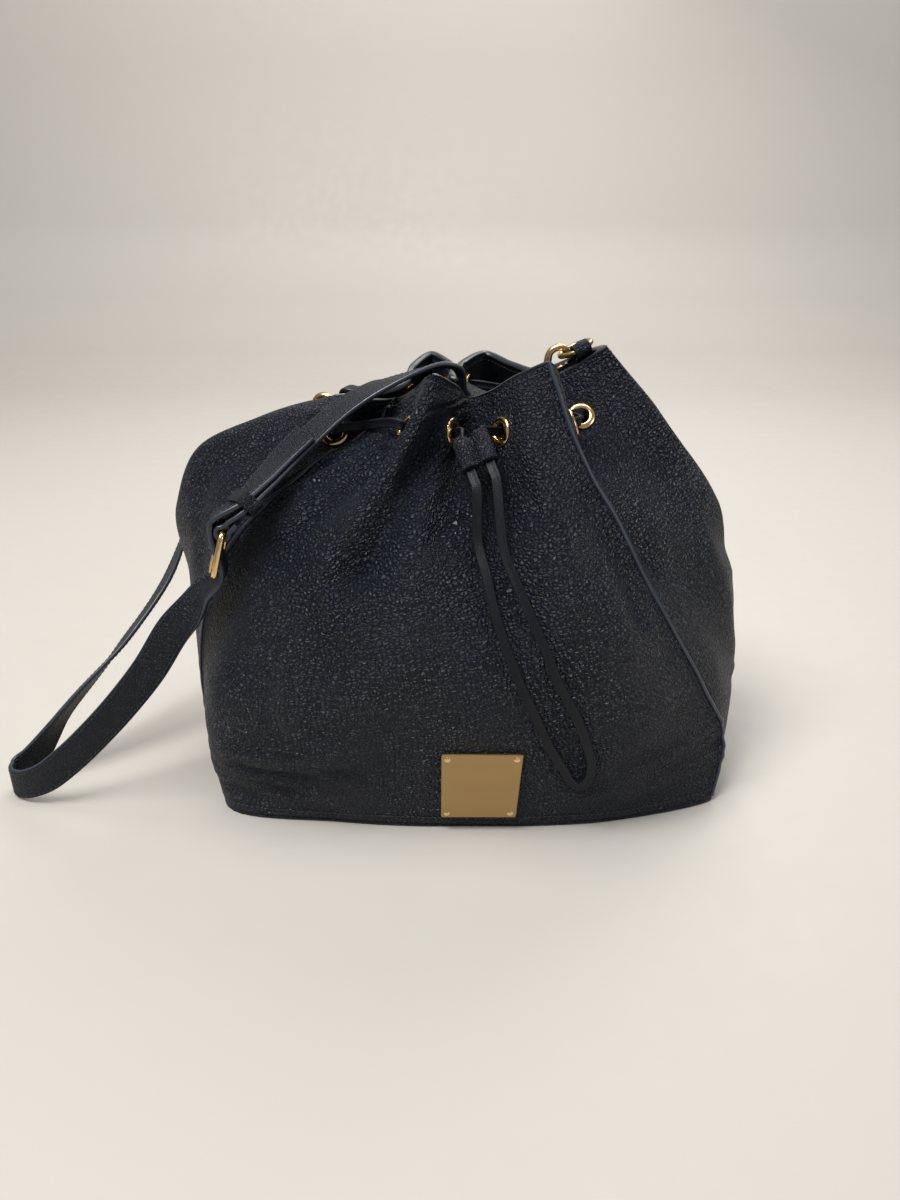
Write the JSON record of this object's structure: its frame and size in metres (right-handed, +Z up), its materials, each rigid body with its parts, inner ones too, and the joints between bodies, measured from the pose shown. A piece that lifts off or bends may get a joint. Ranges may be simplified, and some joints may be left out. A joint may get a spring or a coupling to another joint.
{
  "type": "bucket bag",
  "caption": "Slouchy drawstring bucket bag with gathered mouth, ringed eyelets, sliding cord stop, front plate and clip-on shoulder strap.",
  "frame": {"origin": "on the floor under the middle of the base panel", "axes": "+X to the bag's right as seen from the front, +Y to its back, +Z up"},
  "size_m": [0.4623, 0.2091, 0.2696],
  "materials": {
    "body_leather": "pebbled grain, semi matt",
    "strap_leather": "fine grain with painted edges",
    "cord": "smooth, painted edges",
    "facing": "smooth",
    "lining": "plain weave",
    "board": "matt",
    "plate": "brushed, bevelled edge",
    "gold": "polished"
  },
  "bodies": {
    "bag": {"back_panel": "body_leather", "base_board": "board", "base_panel": "body_leather", "buckle_frame": "gold", "drawstring_rim": "cord", "eyelet_back_left_inner": "gold", "eyelet_back_left_outer": "gold", "eyelet_back_right_inner": "gold", "eyelet_back_right_outer": "gold", "eyelet_crest_left": "gold", "eyelet_crest_right": "gold", "eyelet_front_left": "gold", "eyelet_front_right": "gold", "eyelet_gusset_left_back": "gold", "eyelet_gusset_left_front": "gold", "eyelet_gusset_right_back": "gold", "eyelet_gusset_right_front": "gold", "front_panel": "body_leather", "front_plate": "plate", "hook_eye_left": "gold", "hook_eye_right": "gold", "left_gusset": "body_leather", "lining": "lining", "plate_pin_1": "gold", "plate_pin_2": "gold", "plate_pin_3": "gold", "plate_pin_4": "gold", "right_gusset": "body_leather", "rim_facing": "facing", "ring_tab_left": "strap_leather", "ring_tab_right": "strap_leather", "strap_keeper": "strap_leather", "strap_long": "strap_leather", "strap_short": "strap_leather", "washer_back_left_inner": "gold", "washer_back_left_outer": "gold", "washer_back_right_inner": "gold", "washer_back_right_outer": "gold", "washer_crest_left": "gold", "washer_crest_right": "gold", "washer_front_left": "gold", "washer_front_right": "gold", "washer_gusset_left_back": "gold", "washer_gusset_left_front": "gold", "washer_gusset_right_back": "gold", "washer_gusset_right_front": "gold"},
    "drawstring_pull": {"drawstring_pull": "cord"},
    "drawstring_slider": {"drawstring_slider": "cord"},
    "ring_right": {"ring_right": "gold"},
    "hook_claw_right": {"hook_claw_right": "gold"},
    "hook_gate_right": {"hook_gate_right": "gold"},
    "ring_left": {"ring_left": "gold"},
    "hook_claw_left": {"hook_claw_left": "gold"},
    "hook_gate_left": {"hook_gate_left": "gold"},
    "buckle_tongue": {"buckle_tongue": "gold"}
  },
  "joints": [
    {"name": "drawstring_lift", "type": "hinge", "parent": "bag", "child": "drawstring_pull", "pos_m": [-0.00346, -0.04218, 0.22852], "axis": [-0.9026, 0.01, -0.4303], "range_deg": [0, 75]},
    {"name": "slider_slide", "type": "slide", "parent": "drawstring_pull", "child": "drawstring_slider", "axis": [0.2849, -0.7278, -0.6238], "range_m": [0, 0.0065]},
    {"name": "ring_swing_right", "type": "hinge", "parent": "bag", "child": "ring_right", "pos_m": [0.06379, 0.02184, 0.26345], "axis": [0.8678, 0.2588, 0.4242], "range_deg": [-4, 4]},
    {"name": "hook_swivel_right", "type": "hinge", "parent": "bag", "child": "hook_claw_right", "pos_m": [0.052, 0.0315, 0.2565], "axis": [-0.7507, 0, -0.6607], "range_deg": [-12, 12]},
    {"name": "hook_gate_open_right", "type": "hinge", "parent": "hook_claw_right", "child": "hook_gate_right", "pos_m": [0.04957, 0.0315, 0.2493], "axis": [0, -1, 0], "range_deg": [0, 18]},
    {"name": "ring_swing_left", "type": "hinge", "parent": "bag", "child": "ring_left", "pos_m": [-0.07795, 0.05652, 0.23072], "axis": [0.3549, 0.9338, 0.045], "range_deg": [-4, 4]},
    {"name": "hook_swivel_left", "type": "hinge", "parent": "bag", "child": "hook_claw_left", "pos_m": [-0.0955, 0.0635, 0.221], "axis": [-0.824, 0.261, -0.503], "range_deg": [-12, 12]},
    {"name": "hook_gate_open_left", "type": "hinge", "parent": "hook_claw_left", "child": "hook_gate_left", "pos_m": [-0.09919, 0.06439, 0.21441], "axis": [-0.3351, -0.9402, 0.061], "range_deg": [0, 18]},
    {"name": "buckle_tongue_pivot", "type": "hinge", "parent": "bag", "child": "buckle_tongue", "pos_m": [-0.13649, -0.0588, 0.18055], "axis": [-0.1, 0.992, -0.077], "range_deg": [0, 6]}
  ]
}
